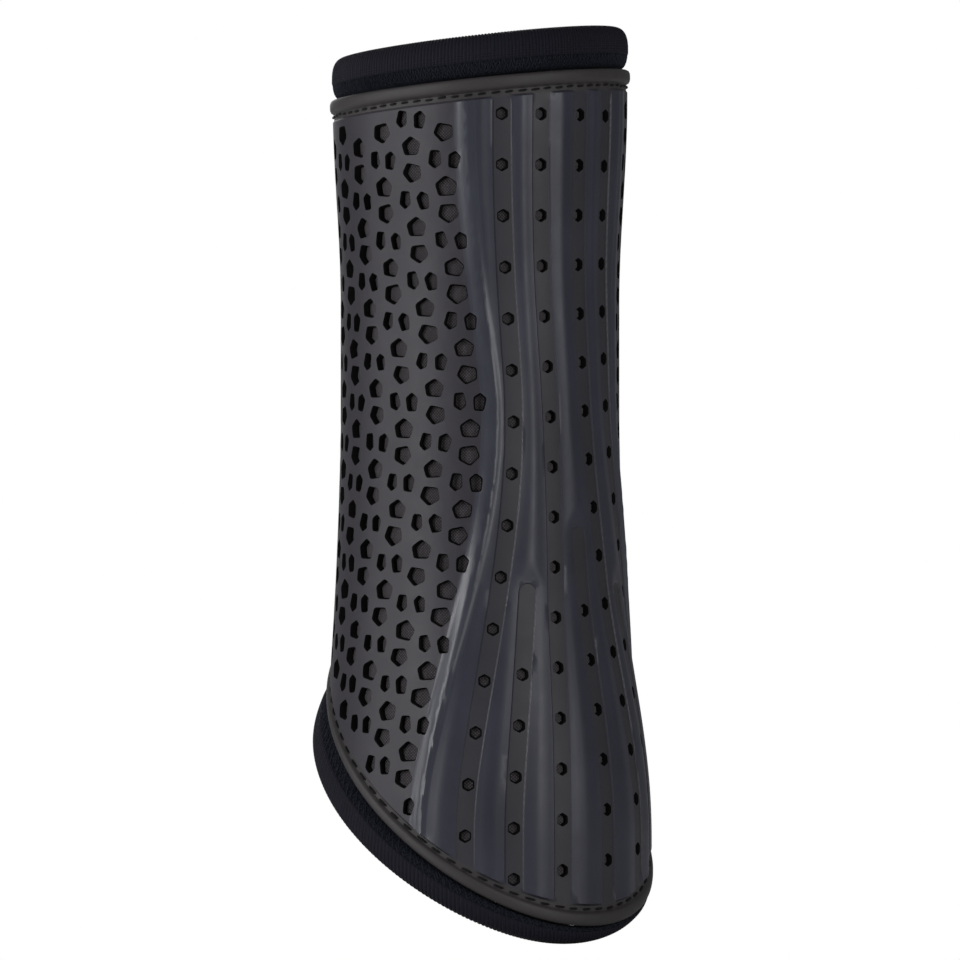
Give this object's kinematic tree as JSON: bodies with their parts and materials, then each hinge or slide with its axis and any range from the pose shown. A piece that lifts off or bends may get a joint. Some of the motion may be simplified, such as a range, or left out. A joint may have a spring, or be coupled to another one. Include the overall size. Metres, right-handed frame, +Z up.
{
  "type": "tendon boot",
  "caption": "Padded tubular leg boot with a perforated moulded shell, a fluted strike panel flared over the fetlock, soft bound collars and hook-and-loop straps.",
  "frame": {"origin": "on the leg's axis, level with the lowest edge of the boot", "axes": "+Z up the leg; -Y towards the tendon side, where the shell reaches lowest; the straps close on the +Y side"},
  "size_m": [0.1068, 0.11, 0.2938],
  "materials": {
    "shell": "satin moulded thermoplastic polyurethane",
    "mesh": "matt knitted mesh",
    "foam": "matt closed-cell foam",
    "lining": "matt knitted lining",
    "binding": "ribbed elastic",
    "facing": "knitted with zigzag stitching",
    "thread": "bonded thread",
    "strap": "woven elastic webbing",
    "hook_tape": "hook tape",
    "loop_tape": "brushed loop tape",
    "tab": "satin moulded rubber"
  },
  "bodies": {
    "boot": {"strike_shell": "shell", "shell_mesh": "mesh", "foam_pad": "foam", "inner_lining": "lining", "top_collar_foam": "foam", "top_binding": "binding", "top_facing": "facing", "bottom_collar_foam": "foam", "bottom_binding": "binding", "bottom_facing": "facing", "top_seam": "thread", "bottom_seam": "thread", "closing_edge_tape": "binding", "tongue": "foam", "loop_tapes": "loop_tape"},
    "wing": {"wing_shell": "shell", "wing_mesh": "mesh", "wing_foam": "foam", "wing_lining": "lining", "wing_top_collar_foam": "foam", "wing_top_binding": "binding", "wing_top_facing": "facing", "wing_bottom_collar_foam": "foam", "wing_bottom_binding": "binding", "wing_bottom_facing": "facing", "wing_top_seam": "thread", "wing_bottom_seam": "thread", "wing_edge_tape": "binding", "strap_anchors": "strap"},
    "lower_strap": {"lower_strap": "strap", "lower_hook": "hook_tape", "lower_tab": "tab"},
    "middle_strap": {"middle_strap": "strap", "middle_hook": "hook_tape", "middle_tab": "tab"},
    "upper_strap": {"upper_strap": "strap", "upper_hook": "hook_tape", "upper_tab": "tab"}
  },
  "joints": [
    {"name": "wing_fold", "type": "hinge", "parent": "boot", "child": "wing", "pos_m": [0.03991, -0.03594, 0.1475], "axis": [0.0211, -0.019, -0.9996], "range_deg": [0, 80]},
    {"name": "lower_strap_peel", "type": "hinge", "parent": "wing", "child": "lower_strap", "pos_m": [0.04594, 0.02412, 0.127], "axis": [0, 0, -1], "range_deg": [0, 110]},
    {"name": "middle_strap_peel", "type": "hinge", "parent": "wing", "child": "middle_strap", "pos_m": [0.04438, 0.0233, 0.181], "axis": [0, 0, -1], "range_deg": [0, 110]},
    {"name": "upper_strap_peel", "type": "hinge", "parent": "wing", "child": "upper_strap", "pos_m": [0.04631, 0.02431, 0.235], "axis": [0, 0, -1], "range_deg": [0, 110]}
  ]
}
